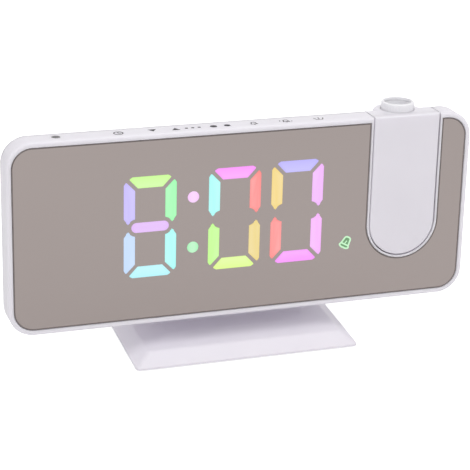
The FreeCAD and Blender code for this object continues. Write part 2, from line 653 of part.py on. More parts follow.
def make_rear_cover():
    """The rear cover: a rounded plate with a housing low on its back, vents and ports."""
    plate = rounded_plate(CASE_W, CASE_H, CASE_R, SEAM_Y, CASE_D)
    plate = round_at_y(plate, CASE_D, BACK_ROUND)
    plate = plate.cut(rounded_plate(CAVITY_W, CAVITY_H, CAVITY_R, SEAM_Y - 1, COVER_IN_Y))
    lip_w = CAVITY_W - 2 * FIT
    lip_h = CAVITY_H - 2 * FIT
    lip = rounded_plate(lip_w, lip_h, CAVITY_R, SEAM_Y - LIP_DEPTH, COVER_IN_Y)
    lip = lip.cut(rounded_plate(lip_w - 2 * LIP_T, lip_h - 2 * LIP_T, CAVITY_R - LIP_T,
                                SEAM_Y - LIP_DEPTH - 1, COVER_IN_Y + 1))
    lip = lip.cut(tongue(PIN_END + SLIDE, 0, COVER_IN_Y))
    lip = lip.cut([along_y(BOSS_R + SLIDE, x, z, 0, SEAM_Y) for x, z in corner_screws()])
    lip = lip.cut([along_y(SCREW_HEAD_R + SLIDE, x, z, 0, COVER_IN_Y) for x, z in board_screws()])
    housing = rounded_plate(HOUSING_W, HOUSING_H, HOUSING_R, COVER_IN_Y, HOUSING_BACK_Y, 0, HOUSING_Z)
    housing = round_at_y(housing, HOUSING_BACK_Y, HOUSING_ROUND)
    hollow = rounded_plate(HOUSING_W - 2 * HOUSING_WALL, HOUSING_H - 2 * HOUSING_WALL,
                           HOUSING_R - HOUSING_WALL, SEAM_Y - LIP_DEPTH - 1, HOUSING_IN_Y, 0, HOUSING_Z)
    shell = plate.fuse([lip, housing]).removeSplitter().cut(hollow)

    # what stands inside the housing: the cell's cup on a rib, speaker ring, posts, neck bosses
    rib = box(CELL_BAY_X - CUP_RIB_W / 2, CELL_BAY_X + CUP_RIB_W / 2, CUP_FRONT_Y - CUP_FLOOR, CUP_FRONT_Y,
              HOUSING_FLOOR_Z - 0.5, HOUSING_TOP_Z - HOUSING_WALL + 0.5)
    cup = along_y(COIN_R + COIN_GAP + CUP_T, CELL_BAY_X, HOUSING_Z, CUP_FRONT_Y - CUP_FLOOR,
                  HOUSING_IN_Y - 0.5)
    seat = along_y(SPEAKER_SEAT_R, SPEAKER_X, HOUSING_Z, HOUSING_IN_Y - SPEAKER_RIM_T, HOUSING_IN_Y)
    posts = [along_y(POWER_POST_R, x, z, HOUSING_BACK_Y - SOCKET_L, HOUSING_IN_Y)
             for x, z in power_posts()]
    bosses = [rounded_block(NECK_BOSS_W, NECK_BOSS_D, 1.0, HOUSING_FLOOR_Z - 0.5,
                            HOUSING_FLOOR_Z + NECK_BOSS_H, s * NECK_SCREW_X, neck_middle_y())
              for s in (-1, 1)]
    shell = shell.fuse([rib, cup, seat] + posts + bosses)

    cuts = [tongue(SLOT_HALF, 0, CASE_D + 1, TOP_Z + 1)]
    cuts += [rounded_plate(KEY_W + 2 * SLIDE, KEY_H + 2 * SLIDE, KEY_CORNER_R + SLIDE, COVER_IN_Y - 1,
                           CASE_D + 1, x, KEY_Z) for x in KEY_XS]
    cuts += [along_y(CASE_SCREW_R + SCREW_HOLE_GAP, x, z, SEAM_Y - 1, CASE_D + 1)
             for x, z in corner_screws()]
    cuts += [along_y(SCREW_HEAD_R + SCREW_HOLE_GAP, x, z, CASE_D - SCREW_HEAD_T + 0.1, CASE_D + 1)
             for x, z in corner_screws()]
    cuts += [along_y(GRILLE_HOLE_R, x, z, HOUSING_IN_Y - 1, HOUSING_BACK_Y + 1)
             for x, z in grille_holes()]
    cuts.append(along_y(SPEAKER_R + FIT, SPEAKER_X, HOUSING_Z,
                        HOUSING_IN_Y - SPEAKER_RIM_T - 1, HOUSING_IN_Y))
    cuts.append(rounded_plate(USB_W + 2 * PORT_GAP, USB_H + 2 * PORT_GAP, 0.6, HOUSING_IN_Y - 1,
                              HOUSING_BACK_Y + 1, SOCKET_X, USB_Z))
    cuts.append(rounded_plate(INLET_W + 2 * PORT_GAP, INLET_H + 2 * PORT_GAP, INLET_H / 2,
                              HOUSING_IN_Y - 1, HOUSING_BACK_Y + 1, SOCKET_X, INLET_Z))
    cuts.append(along_y(COIN_R + COIN_GAP, CELL_BAY_X, HOUSING_Z, CUP_FRONT_Y, HOUSING_IN_Y))
    cuts.append(along_y(COVER_R + COVER_GAP, CELL_BAY_X, HOUSING_Z, HOUSING_IN_Y - 0.6,
                        HOUSING_BACK_Y + 1))
    for side in (0, 180):
        cuts.append(sector(COVER_REACH, HOUSING_IN_Y - 0.6, HOUSING_BACK_Y + 1,
                           side + COVER_TURN_DEG, COVER_LUG_DEG + 6))
    cuts += [along_y(POWER_SCREW_R, x, z, HOUSING_BACK_Y - SOCKET_L - 1,
                     HOUSING_IN_Y - POWER_HOLE_FLOOR)
             for x, z in power_posts()]
    cuts += [along_z(CASE_SCREW_R, s * NECK_SCREW_X, neck_middle_y(), -TOP_Z - 1,
                     HOUSING_FLOOR_Z + NECK_BOSS_H - 1) for s in (-1, 1)]
    return shell.cut(cuts).removeSplitter()


def neck_middle_y():
    """The neck's middle, in the case frame, where it meets the housing's underside."""
    row_y = NECK_FRONT_Y + NECK_D / 2
    return (row_y - CASE_AHEAD + FOOT_D / 2) / math.cos(math.radians(LEAN_DEG))


def power_posts():
    """Places, in X and Z, of the posts that carry the power board."""
    half = POWER_BOARD_W / 2 - POWER_POST_R
    return [(SOCKET_X - half, HOUSING_Z + POWER_POST_HIGH), (SOCKET_X + half, HOUSING_Z - POWER_POST_LOW)]


def make_power():
    """The power board with its two sockets, and its screws."""
    back = HOUSING_BACK_Y - SOCKET_L
    front = back - POWER_BOARD_T
    board = box(SOCKET_X - POWER_BOARD_W / 2, SOCKET_X + POWER_BOARD_W / 2, front, back,
                HOUSING_FLOOR_Z + 1.2, HOUSING_TOP_Z - HOUSING_WALL - 1.2)
    holes = [along_y(POWER_SCREW_R + PORT_GAP, x, z, front - 1, back + 1) for x, z in power_posts()]
    keep_leaning("power_board", board.cut(holes))
    shell = rounded_plate(USB_W, USB_H, 0.4, back, HOUSING_BACK_Y - SOCKET_SUNK, SOCKET_X, USB_Z)
    shell = shell.cut(rounded_plate(USB_W - 2 * USB_SHELL_T, USB_H - 2 * USB_SHELL_T, 0.2,
                                    back + USB_BASE_T, HOUSING_BACK_Y, SOCKET_X, USB_Z))
    keep_leaning("usb_socket", shell)
    reach = USB_W / 2 - USB_TONGUE_IN
    plug_tongue = box(SOCKET_X - reach, SOCKET_X + reach, back + USB_BASE_T, HOUSING_BACK_Y - 1.4,
                      USB_Z + 0.2, USB_Z + 2.0)
    keep_leaning("usb_contacts", plug_tongue)
    inlet = rounded_plate(INLET_W, INLET_H, INLET_H / 2 - 0.05, back, HOUSING_BACK_Y - SOCKET_SUNK,
                          SOCKET_X, INLET_Z)
    inlet = inlet.cut(rounded_plate(INLET_W - 2 * USB_SHELL_T, INLET_H - 2 * USB_SHELL_T,
                                    INLET_H / 2 - USB_SHELL_T - 0.05, back + INLET_BASE_T, HOUSING_BACK_Y,
                                    SOCKET_X, INLET_Z))
    reach = INLET_W / 2 - 1.3
    pad = box(SOCKET_X - reach, SOCKET_X + reach, back + INLET_BASE_T - 0.5, HOUSING_BACK_Y - 1.2,
              INLET_Z - INLET_TONGUE_T / 2, INLET_Z + INLET_TONGUE_T / 2)
    keep_leaning("power_inlet", inlet.fuse(pad).removeSplitter())
    screws = [screw(POWER_SCREW_R, front, back + POWER_SCREW_BITE, x, z) for x, z in power_posts()]
    keep_leaning("power_screws", group(screws))


def cone_y(r0, r1, y0, y1):
    """A cone or a cut cone about the speaker's axis, from y0 to y1."""
    return Part.makeCone(r0, r1, y1 - y0, V(SPEAKER_X, y0, HOUSING_Z), Y_AXIS)


def make_speaker():
    """The speaker behind the grille: basket, cone and magnet."""
    rim_front = HOUSING_IN_Y - SPEAKER_RIM_T
    basket_front = rim_front - BASKET_D
    flare = cone_y(MAGNET_R + BASKET_T, SPEAKER_R - 0.8, basket_front, rim_front)
    rim = along_y(SPEAKER_R, SPEAKER_X, HOUSING_Z, rim_front, HOUSING_IN_Y)
    hollow = cone_y(MAGNET_R, SPEAKER_R - 0.8 - BASKET_T, basket_front + BASKET_T, HOUSING_IN_Y)
    keep_leaning("speaker_basket", flare.fuse(rim).removeSplitter().cut(hollow))
    cone_back = HOUSING_IN_Y - BASKET_T
    wide = SPEAKER_R - 2.8
    narrow = COIL_R + 1.0
    outer = cone_y(narrow, wide, cone_back - CONE_D, cone_back)
    inner = cone_y(narrow - CONE_T, wide - CONE_T, cone_back - CONE_D + CONE_T / 2, cone_back + CONE_T / 2)
    coil = along_y(COIL_R, SPEAKER_X, HOUSING_Z, basket_front + BASKET_T, cone_back - CONE_D + CONE_T)
    keep_leaning("speaker_cone", outer.cut(inner).fuse(coil).removeSplitter())
    magnet = along_y(MAGNET_R, SPEAKER_X, HOUSING_Z, basket_front - MAGNET_T, basket_front)
    keep_leaning("speaker_magnet", magnet)


def make_cell_bay():
    """The coin cell, its contact and the round cover that turns to lock."""
    cell_front = CUP_FRONT_Y + CONTACT_T
    cell_back = cell_front + COIN_T
    keep_leaning("cell_contact", along_y(CONTACT_R, CELL_BAY_X, HOUSING_Z, CUP_FRONT_Y, cell_front))
    cell = along_y(COIN_R, CELL_BAY_X, HOUSING_Z, cell_front, cell_back)
    keep_leaning("coin_cell", round_at_y(cell, cell_back, 0.4))
    disc_front = HOUSING_BACK_Y - COVER_DISC_T
    lug_back = HOUSING_IN_Y - COVER_GAP
    lug_front = lug_back - COVER_LUG_T
    cover = along_y(COVER_R, CELL_BAY_X, HOUSING_Z, disc_front, HOUSING_BACK_Y)
    skirt_in = along_y(COIN_R + COIN_GAP + CUP_T + SLIDE, CELL_BAY_X, HOUSING_Z, 0, disc_front)
    for side in (0, 180):
        neck = sector(COVER_R, lug_front, disc_front, side, COVER_LUG_DEG)
        lug = sector(COVER_R + COVER_LUG_OUT, lug_front, lug_back, side, COVER_LUG_DEG)
        cover = cover.fuse(neck.fuse(lug).cut(skirt_in))
    slot = box(CELL_BAY_X - COIN_SLOT_HALF, CELL_BAY_X + COIN_SLOT_HALF,
               HOUSING_BACK_Y - COIN_SLOT_D, HOUSING_BACK_Y + 1,
               HOUSING_Z - COIN_SLOT_W / 2, HOUSING_Z + COIN_SLOT_W / 2)
    keep_leaning("cell_cover", cover.removeSplitter().cut(slot))


def make_arm():
    """The arm's two shells, hinge pins and the tube on its back."""
    front = tongue(ARM_HALF, 0, ARM_SPLIT_Y)
    front = round_at_y(front, 0, ARM_ROUND)
    hollow = tongue(ARM_HALF - ARM_WALL, ARM_WALL, ARM_SPLIT_Y + 1, TOP_Z - ARM_WALL)
    keep_leaning("arm_front", front.cut(hollow))

    plate = tongue(ARM_HALF, ARM_SPLIT_Y, CASE_D)
    top_back = edges_where(plate, lambda p: abs(p.y - CASE_D) < 1e-4 and abs(p.z - TOP_Z) < 1e-4)
    plate = plate.makeFillet(BACK_ROUND, top_back)
    plate = plate.cut(tongue(ARM_HALF - ARM_WALL, ARM_SPLIT_Y - 1, CASE_D - ARM_WALL, TOP_Z - ARM_WALL))
    tube = along_z(TUBE_R, ARM_X, TUBE_Y, TUBE_BOTTOM_Z, TOP_Z)
    rims = edges_where(tube, lambda p: abs(p.z - TOP_Z) < 1e-4)
    tube = tube.makeFillet(TUBE_ROUND, rims)
    tube = tube.fuse(Part.makeSphere(TUBE_R, V(ARM_X, TUBE_Y, TUBE_BOTTOM_Z))).removeSplitter()
    tube = tube.common(box(ARM_X - TUBE_R - 1, ARM_X + TUBE_R + 1, ARM_SPLIT_Y, TUBE_Y + TUBE_R + 1,
                           ARM_BOTTOM, TOP_Z))
    pin_walls = [rod(PIN_R + PIN_WALL, V(ARM_X + s * ARM_HALF, PIVOT_Y, PIVOT_Z),
                     V(ARM_X + s * (ARM_HALF - PIN_IN_ARM), PIVOT_Y, PIVOT_Z)) for s in (-1, 1)]
    pin_walls = [wall.common(box(0, CASE_W, ARM_SPLIT_Y, CASE_D, 0, TOP_Z)) for wall in pin_walls]
    shell = plate.fuse([tube] + pin_walls).removeSplitter()
    bore = along_z(BORE_R, ARM_X, TUBE_Y, BORE_BOTTOM_Z, TOP_Z + 1)
    holes = [rod(PIN_R, V(ARM_X + s * (ARM_HALF + 1), PIVOT_Y, PIVOT_Z),
                 V(ARM_X + s * (ARM_HALF - PIN_IN_ARM), PIVOT_Y, PIVOT_Z)) for s in (-1, 1)]
    keep_leaning("arm_rear", shell.cut([bore] + holes).removeSplitter())

    pins = [rod(PIN_R, V(ARM_X + s * (ARM_HALF - PIN_IN_ARM), PIVOT_Y, PIVOT_Z),
                V(ARM_X + s * PIN_END, PIVOT_Y, PIVOT_Z)) for s in (-1, 1)]
    keep_leaning("arm_pins", group(pins))


def in_tube(radius, z0, z1):
    """A round bar about the tube's axis."""
    return along_z(radius, ARM_X, TUBE_Y, z0, z1)


def square_in_tube(width, z0, z1):
    """A square block about the tube's axis."""
    half = width / 2
    return box(ARM_X - half, ARM_X + half, TUBE_Y - half, TUBE_Y + half, z0, z1)


def lens(radius, z0, edge_t, crown, dome_r):
    """A lens about the tube's axis, flat below and domed above."""
    flat = in_tube(radius, z0, z0 + edge_t)
    dome = Part.makeSphere(dome_r, V(ARM_X, TUBE_Y, z0 + edge_t + crown - dome_r))
    return flat, dome


def make_optics():
    """What is in the tube, from the bottom: board, lamp, condenser, picture cell, lens tube."""
    board_top = BORE_BOTTOM_Z + PROJECTOR_BOARD_T
    keep_leaning("projector_board", in_tube(BORE_R - FIT, BORE_BOTTOM_Z, board_top))
    keep_leaning("projector_lamp", square_in_tube(LAMP_W, board_top, board_top + LAMP_T))
    flat, dome = lens(BORE_R - FIT, CONDENSER_Z, CONDENSER_FLAT_T, CONDENSER_CROWN, CONDENSER_DOME_R)
    flat_top = CONDENSER_Z + CONDENSER_FLAT_T
    dome = dome.common(in_tube(BORE_R - CONDENSER_EDGE, flat_top, flat_top + BEYOND))
    keep_leaning("condenser_lens", flat.fuse(dome).removeSplitter())
    panel = square_in_tube(LCD_W, LCD_Z, LCD_Z + LCD_T)
    carrier = in_tube(BORE_R - FIT, LCD_Z, LENS_TUBE_BOTTOM_Z)
    window = square_in_tube(LCD_W - 2 * LCD_EDGE, LCD_Z - 1, LENS_TUBE_BOTTOM_Z + 1)
    keep_leaning("lcd_carrier", carrier.cut([window, panel]))
    keep_leaning("lcd_panel", panel)
    lens_tube = in_tube(LENS_TUBE_R, LENS_TUBE_BOTTOM_Z, RING_TOP_Z - RING_LIP_T - SLIDE)
    flange = in_tube(BORE_R - FIT, LENS_TUBE_BOTTOM_Z, RING_BOTTOM_Z - SLIDE)
    lens_tube = lens_tube.fuse(flange).removeSplitter()
    keep_leaning("lens_tube", lens_tube.cut(in_tube(LENS_TUBE_BORE, 0, RING_TOP_Z + 1)))

    ring = in_tube(RING_R, RING_BOTTOM_Z, RING_TOP_Z)
    ring = ring.makeFillet(RING_EDGE_ROUND, edges_where(ring, lambda p: abs(p.z - RING_TOP_Z) < 1e-4))
    ring = ring.cut([in_tube(RING_BORE_R, RING_BOTTOM_Z - 1, RING_TOP_Z - RING_LIP_T),
                     in_tube(RING_MOUTH_R, RING_BOTTOM_Z, RING_TOP_Z + 1)])
    grooves = []
    for i in range(RING_RIBS):
        angle = 2 * math.pi * i / RING_RIBS
        grooves.append(along_z(RIB_R, ARM_X + RING_R * math.cos(angle), TUBE_Y + RING_R * math.sin(angle),
                               TOP_Z + 0.5, RING_TOP_Z - 2 * RING_EDGE_ROUND))
    keep_leaning("focus_ring", ring.cut(grooves))

    cell_top = RING_TOP_Z - CELL_DROP
    seat = cell_top - LENS_DEEP
    cell = in_tube(CELL_R, cell_top - CELL_L, cell_top)
    cell = cell.cut([in_tube(LENS_R, seat, cell_top + 1),
                     in_tube(LENS_R - LENS_SHOULDER, cell_top - CELL_L - 1, cell_top)])
    keep_leaning("lens_cell", cell)
    flat, dome = lens(LENS_R - FIT, seat, LENS_EDGE_T, LENS_CROWN, LENS_DOME_R)
    dome = dome.common(in_tube(LENS_R - FIT, seat + LENS_EDGE_T, cell_top))
    keep_leaning("projection_lens", flat.fuse(dome).removeSplitter())


def foot_outline_block(inset, z0, z1):
    """A block under the foot's outline, drawn in by the inset."""
    return rounded_block(FOOT_W - 2 * inset, FOOT_D - 2 * inset, FOOT_CORNER_R, z0, z1)


def foot_section(inset, z):
    """The foot's rounded outline at one height, as a wire for a loft."""
    block = foot_outline_block(inset, z, z + 1)
    face = [f for f in block.Faces if abs(f.CenterOfMass.z - z) < 1e-6][0]
    return face.OuterWire


def neck_cove(slope_top, crown_top, neck_mid):
    """The hollow-curved flare from the crown up to the neck: a quarter circle in section."""
    wires = []
    for step in range(NECK_COVE_STEPS + 1):
        turn = math.pi / 2 * step / NECK_COVE_STEPS
        grow = NECK_COVE_R * (1 - math.sin(turn))
        z = crown_top + NECK_COVE_R * (1 - math.cos(turn))
        block = rounded_block(NECK_W + 2 * grow, NECK_D + 2 * grow, NECK_CORNER_R + grow, z, z + 1,
                              0, neck_mid)
        wires.append([f for f in block.Faces if abs(f.CenterOfMass.z - z) < 1e-6][0].OuterWire)
    flare = Part.makeLoft(wires, True, True)
    under = rounded_block(NECK_W + 2 * NECK_COVE_R, NECK_D + 2 * NECK_COVE_R, NECK_CORNER_R + NECK_COVE_R,
                          slope_top - 0.5, crown_top, 0, neck_mid)
    return flare.fuse(under)


def make_foot():
    """The foot: a plate with sloped edges, a low crown and a neck, closed below."""
    low = PAD_PROUD
    edge_top = low + FOOT_EDGE_H
    slope_top = low + FOOT_SLOPE_H
    crown_top = slope_top + FOOT_CROWN
    band = foot_outline_block(0, low, edge_top)
    slope = Part.makeLoft([foot_section(0, edge_top), foot_section(FOOT_SLOPE_IN, slope_top)], True, True)
    crown = Part.makeLoft([foot_section(FOOT_SLOPE_IN, slope_top),
                           foot_section(FOOT_SLOPE_IN + FOOT_CROWN_IN, crown_top)], True, True)
    top = band.fuse([slope, crown]).removeSplitter()
    top = top.makeFillet(FOOT_RIDGE_R, edges_where(top, lambda p: abs(p.z - slope_top) < 1e-4))
    neck_mid = NECK_FRONT_Y + NECK_D / 2
    neck = rounded_block(NECK_W, NECK_D, NECK_CORNER_R, slope_top, CASE_ABOVE + 2, 0, neck_mid)
    cove = neck_cove(slope_top, crown_top, neck_mid)
    housing = rounded_plate(HOUSING_W, HOUSING_H, HOUSING_R, COVER_IN_Y, HOUSING_BACK_Y, 0, HOUSING_Z)
    case_void = placed(housing.fuse(rounded_plate(CASE_W, CASE_H, CASE_R, 0, CASE_D)))
    body = top.fuse([cove, neck]).removeSplitter().cut(case_void)
    plate_bottom = low
    plate_top = plate_bottom + PLATE_T
    cavity = foot_outline_block(FOOT_WALL + FOOT_LEDGE, low - 1, plate_top + WEIGHT_T)
    pocket = foot_outline_block(FOOT_WALL, low - 1, plate_top)
    heads = []
    shanks = []
    screws = []
    seat_z = HOUSING_FLOOR_Z - HOUSING_WALL - NECK_SEAT
    for s in (-1, 1):
        x = s * NECK_SCREW_X
        y = neck_middle_y()
        heads.append(placed(along_z(SCREW_HEAD_R + SLIDE, x, y, seat_z - BEYOND, seat_z)))
        shanks.append(placed(along_z(CASE_SCREW_R + SCREW_HOLE_GAP, x, y, seat_z - 1, -TOP_Z + 1)))
        shank = along_z(CASE_SCREW_R, x, y, seat_z, HOUSING_FLOOR_Z + NECK_BOSS_H - 1.5)
        head = along_z(SCREW_HEAD_R, x, y, seat_z - SCREW_HEAD_T, seat_z)
        screws.append(shank.fuse(head).removeSplitter())
    shell = body.cut([cavity, pocket] + heads + shanks).removeSplitter()
    keep("foot_shell", shell)
    keep_leaning("neck_screws", group(screws))

    plate = foot_outline_block(FOOT_WALL + FIT, plate_bottom, plate_top)
    pad_x = FOOT_W / 2 - PAD_IN_X
    pad_y = FOOT_D / 2 - PAD_IN_Y
    spots = [(sx * pad_x, sy * pad_y) for sx in (-1, 1) for sy in (-1, 1)]
    seats = [along_z(PAD_R + FIT, x, y, plate_bottom - 1, PAD_T) for x, y in spots]
    keep("foot_plate", plate.cut(seats))
    keep("foot_pads", group([along_z(PAD_R, x, y, 0, PAD_T) for x, y in spots]))
    weight = box(-WEIGHT_W / 2, WEIGHT_W / 2, -WEIGHT_D / 2, WEIGHT_D / 2, plate_top, plate_top + WEIGHT_T)
    weight = weight.cut([placed(along_z(SCREW_HEAD_R + 2 * SLIDE, s * NECK_SCREW_X, neck_middle_y(),
                                        seat_z - BEYOND, seat_z)) for s in (-1, 1)])
    keep("foot_weight", weight)


def make_case_fastenings():
    """The four case screws and the light sensor's window."""
    screws = [screw(CASE_SCREW_R, CASE_D - SCREW_HEAD_T + 0.1, LEDGE_BACK_Y + 0.5, x, z)
              for x, z in corner_screws()]
    keep_leaning("case_screws", group(screws))
    keep_leaning("light_sensor", along_z(SENSOR_R, SENSOR_X, SENSOR_Y, TOP_Z - CASE_WALL - 0.3, TOP_Z - 0.1))


keep_leaning("front_frame", make_front_frame())
keep_leaning("mirror_panel", make_mirror_panel())
keep_leaning("rear_cover", make_rear_cover())
make_display()
make_keys()
make_power()
make_speaker()
make_cell_bay()
make_arm()
make_optics()
make_foot()
make_case_fastenings()

os.makedirs("parts", exist_ok=True)
for name, shape in NODES.items():
    shape.exportStep("parts/" + name + ".step")
    print(name, len(shape.Solids), "valid" if shape.isValid() else "NOT VALID", round(shape.Volume, 1))
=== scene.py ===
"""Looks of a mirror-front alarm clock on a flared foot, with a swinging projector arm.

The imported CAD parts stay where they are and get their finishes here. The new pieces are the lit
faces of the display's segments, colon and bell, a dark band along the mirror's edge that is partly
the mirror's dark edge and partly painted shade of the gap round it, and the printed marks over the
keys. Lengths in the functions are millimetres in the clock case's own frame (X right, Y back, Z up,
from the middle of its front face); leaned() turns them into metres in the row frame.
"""
import bpy
import math
import numpy as np
from mathutils import Matrix


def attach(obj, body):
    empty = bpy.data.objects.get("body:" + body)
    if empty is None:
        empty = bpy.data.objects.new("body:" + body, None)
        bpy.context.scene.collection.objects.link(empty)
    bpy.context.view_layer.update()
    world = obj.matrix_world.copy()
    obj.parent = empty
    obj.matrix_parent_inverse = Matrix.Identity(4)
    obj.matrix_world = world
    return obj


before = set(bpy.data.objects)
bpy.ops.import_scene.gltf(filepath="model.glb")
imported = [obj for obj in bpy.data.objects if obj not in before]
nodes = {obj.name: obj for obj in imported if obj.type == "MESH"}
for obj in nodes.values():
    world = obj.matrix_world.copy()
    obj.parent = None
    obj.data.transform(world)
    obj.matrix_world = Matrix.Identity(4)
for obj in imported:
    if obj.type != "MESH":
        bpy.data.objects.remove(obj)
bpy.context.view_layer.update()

MM = 0.001

# The case's place on its foot
LEAN = math.radians(5.0)
CASE_MIDDLE_Z = 37.9
CASE_FRONT_Y = -15.6
CASE_BOTTOM_Z = 15.5
TOP_Z = 37.9

# The mirror's outline, and the slot's round end
MIRROR_FACE_Y = 0.25
MIRROR_HALF_W = 90.75
MIRROR_HALF_H = 35.65
MIRROR_R = 7.75
MIRROR_SLOT_HALF = 15.2
ARM_X = 65.5
SLOT_ROUND_Z = -5.75
EDGE_W = 0.4            # width of the dark band at the mirror's edge, partly painted shade of its gap
EDGE_IN = 0.02          # from the mirror's outline to the dark band

# Lit faces: how far in front of and behind the mirror's face they reach
LIT_Y = MIRROR_FACE_Y - 0.03
BEHIND_Y = MIRROR_FACE_Y + 0.10
LIT_STEP = 0.01

# A digit's segments
DIGIT_W = 20.6
DIGIT_H = 40.2
SEGMENT_ROUND = 0.5
BAR_H = 4.5
BAR_OUTER_HALF = 6.9
BAR_SHOULDER_HALF = 8.3
BAR_SHOULDER_DROP = 0.8
BAR_INNER_HALF = 4.85
CAPSULE_R = 1.98
CAPSULE_X = 5.36        # middle of the middle segment's round end
HOLLOW_R = 3.5          # hollow of a post round that end
POST_W = 4.39
POST_LOW = 1.35
POST_SIDE_RISE = 2.4
POST_TIP_DROP = 1.8
POST_TIP_W = 0.85
POST_TIP_H = 1.35
POST_MITRE_DROP = 3.65

# How a segment's light fades from its pale middle to its own colour
PALER = 0.28            # how far the middle goes towards white
RIM_TINT = 0.30         # share of its own colour that the rim adds
RIM_FALL = (1.0, 1.0, 0.35, 0.0)
RIM_INSETS = (0.0, 0.0, 0.5, 1.0)
END_TINT = 0.85         # share that the ends add
END_POWER = 1.6

# Each digit's name, middle, size and segment colours: in the photo they grow a little to the right
DIGITS = [
    ("hours", (-38.25, 1.5), 1.0,
     {"top": (205, 255, 150), "upper_left": (200, 188, 255), "upper_right": (160, 255, 178),
      "middle": (230, 188, 252), "lower_left": (196, 222, 255), "lower_right": (172, 255, 250),
      "bottom": (182, 248, 255)}),
    ("tens", (-4.7, 2.02), 1.015,
     {"top": (255, 152, 255), "upper_left": (172, 255, 250), "upper_right": (255, 138, 136),
      "lower_left": (196, 255, 142), "lower_right": (240, 216, 132), "bottom": (225, 255, 142)}),
    ("minutes", (20.7, 2.45), 1.03,
     {"top": (190, 182, 255), "upper_left": (246, 216, 128), "upper_right": (244, 182, 255),
      "lower_left": (255, 142, 140), "lower_right": (250, 180, 255), "bottom": (250, 152, 255)}),
]
COLON_R = 2.25
COLON_DOTS = [((-21.3, 11.9), (250, 200, 255)), ((-21.3, -8.3), (168, 245, 184))]

# The lit bell
LIT_BELL_AT = (41.85, -12.35)
LIT_BELL_TILT_DEG = -28.0
LIT_BELL_CORNERS = [(-1.2, 2.3), (1.2, 2.3), (1.5, 0.2), (1.7, -0.9), (2.2, -1.7), (1.1, -2.25),
                    (-1.1, -2.25), (-2.2, -1.7), (-1.7, -0.9), (-1.5, 0.2)]
LIT_BELL_ROUND = 1.1
LIT_BELL_LINE_W = 0.66
LIT_BELL_LINES = [([(-1.45, -0.85), (1.45, -0.85)], 0.6), ([(-0.15, -0.5), (0.15, 0.8)], 0.45)]
LIT_BELL_COLOUR = (204, 250, 206)
LIT_BELL_MIDDLE = (118, 162, 120)

# Printed marks: their sizes, and X and Y of their middles on the case's top
INK_LOW = -0.02
INK_HIGH = 0.03
MARK_LINE_W = 0.36
CLOCK_LINE_W = 0.42
RINGING_LINE_W = 0.28
ARROW = [(-1.6, 1.15), (1.6, 1.15), (0, -1.3)]
CLOCK_R = 1.7
CLOCK_HANDS = [(0, 1.1), (0, 0), (0.8, -0.4)]
DOT_R = 0.62
DISC_R = 1.35
MOON_R = 1.15
MOON_BITE_R = 0.85
MOON_BITE_X = 0.75
BELL_SIZE = 2.9
CLAPPER_R = 0.42
RINGING_R = 2.0
BEAM_FUNNEL = [(-1.9, 1.1), (-1.2, -1.0), (1.2, -1.0), (1.9, 1.1)]
BEAM_MIDDLE = [(0, -0.2), (0, 1.5)]
CLOCK_AT = (-49.6, 4.2)
DOWN_AT = (-36.3, 4.7)
UP_AT = (-27.5, 4.2)
DOTS_AT = [(-23.2, 4.3), (-20.7, 4.3), (-18.2, 4.3)]
DISC_AT = (-12.6, 4.2)
MOON_AT = (-7.2, 4.2)
BELLS_AT = [(3.5, 4.4), (16.5, 4.4)]
CLAPPERS_AT = [(3.5, 3.1), (16.5, 3.1)]
RINGING_AT = [(16.9, 4.5), (16.1, 4.5)]
BEAM_AT = (30.05, 4.2)

# Camera, solved from the mirror's edges in the photo
CAMERA_AT = (-0.211891, -0.587256, 0.326727)
CAMERA_RIGHT = (0.9469529, -0.3173133, 0.0509164)
CAMERA_UP = (0.0879909, 0.4083786, 0.9085618)
CAMERA_LENS_MM = 133.92

# Studio: lamps as name, place, target, size, watts and whether reflections show them
LAMPS = [
    ("key_light", (0.10, -0.25, 1.0), (0, 0, 0.03), 0.55, 2.7, True),
    ("front_light", (-0.55, -1.15, 0.42), (0, 0, 0.05), 0.9, 1.9, True),
    ("back_light", (0.35, 1.3, 0.12), (0, 0, 0.05), 0.6, 2.0, False),
]
FLOOR_REACH = 6.0
FLOOR_GREY = 0.88
FLOOR_SEEN_GLOW = 0.62
FLOOR_MIRRORED_GLOW = 0.16
BACKDROP_FILL = 0.72    # the backdrop's light on matt surfaces; the camera and mirrors see 1


def leaned(points):
    """Case-frame points in millimetres, turned back by the lean and set on the foot, in metres."""
    x, y, z = np.moveaxis(np.asarray(points, float), -1, 0)
    up = z + CASE_MIDDLE_Z
    back = y * math.cos(LEAN) + up * math.sin(LEAN) + CASE_FRONT_Y
    high = up * math.cos(LEAN) - y * math.sin(LEAN) + CASE_BOTTOM_Z
    return np.stack([x, back, high], -1) * MM


def linear(colour):
    """An sRGB colour of three numbers from 0 to 255, as linear light."""
    c = np.asarray(colour, float) / 255
    return np.where(c <= 0.04045, c / 12.92, ((c + 0.055) / 1.055) ** 2.4)


def placed(right, up, back, position):
    """The matrix of an object at a position, turned by its three directions."""
    matrix = np.eye(4)
    matrix[:3, :3] = np.stack([right, up, back], 1)
    matrix[:3, 3] = position
    return Matrix(matrix.tolist())


# ---------------------------------------------------------------- camera
def make_camera():
    """The scene's camera, where the photo was taken from."""
    data = bpy.data.cameras.new("camera")
    camera = bpy.data.objects.new("camera", data)
    bpy.context.scene.collection.objects.link(camera)
    right = np.array(CAMERA_RIGHT) / np.linalg.norm(CAMERA_RIGHT)
    back = np.cross(right, CAMERA_UP)
    back /= np.linalg.norm(back)
    camera.matrix_world = placed(right, np.cross(back, right), back, CAMERA_AT)
    data.lens = CAMERA_LENS_MM
    data.sensor_width = 36.0
    data.clip_start = 0.01
    data.clip_end = 20.0
    bpy.context.scene.camera = camera


make_camera()


# ---------------------------------------------------------------- materials
def new_tree(name):
    """An empty node material, its tree, and its output's surface input."""
    material = bpy.data.materials.new(name)
    material.use_nodes = True
    tree = material.node_tree
    tree.nodes.clear()
    return material, tree, tree.nodes.new("ShaderNodeOutputMaterial").inputs["Surface"]


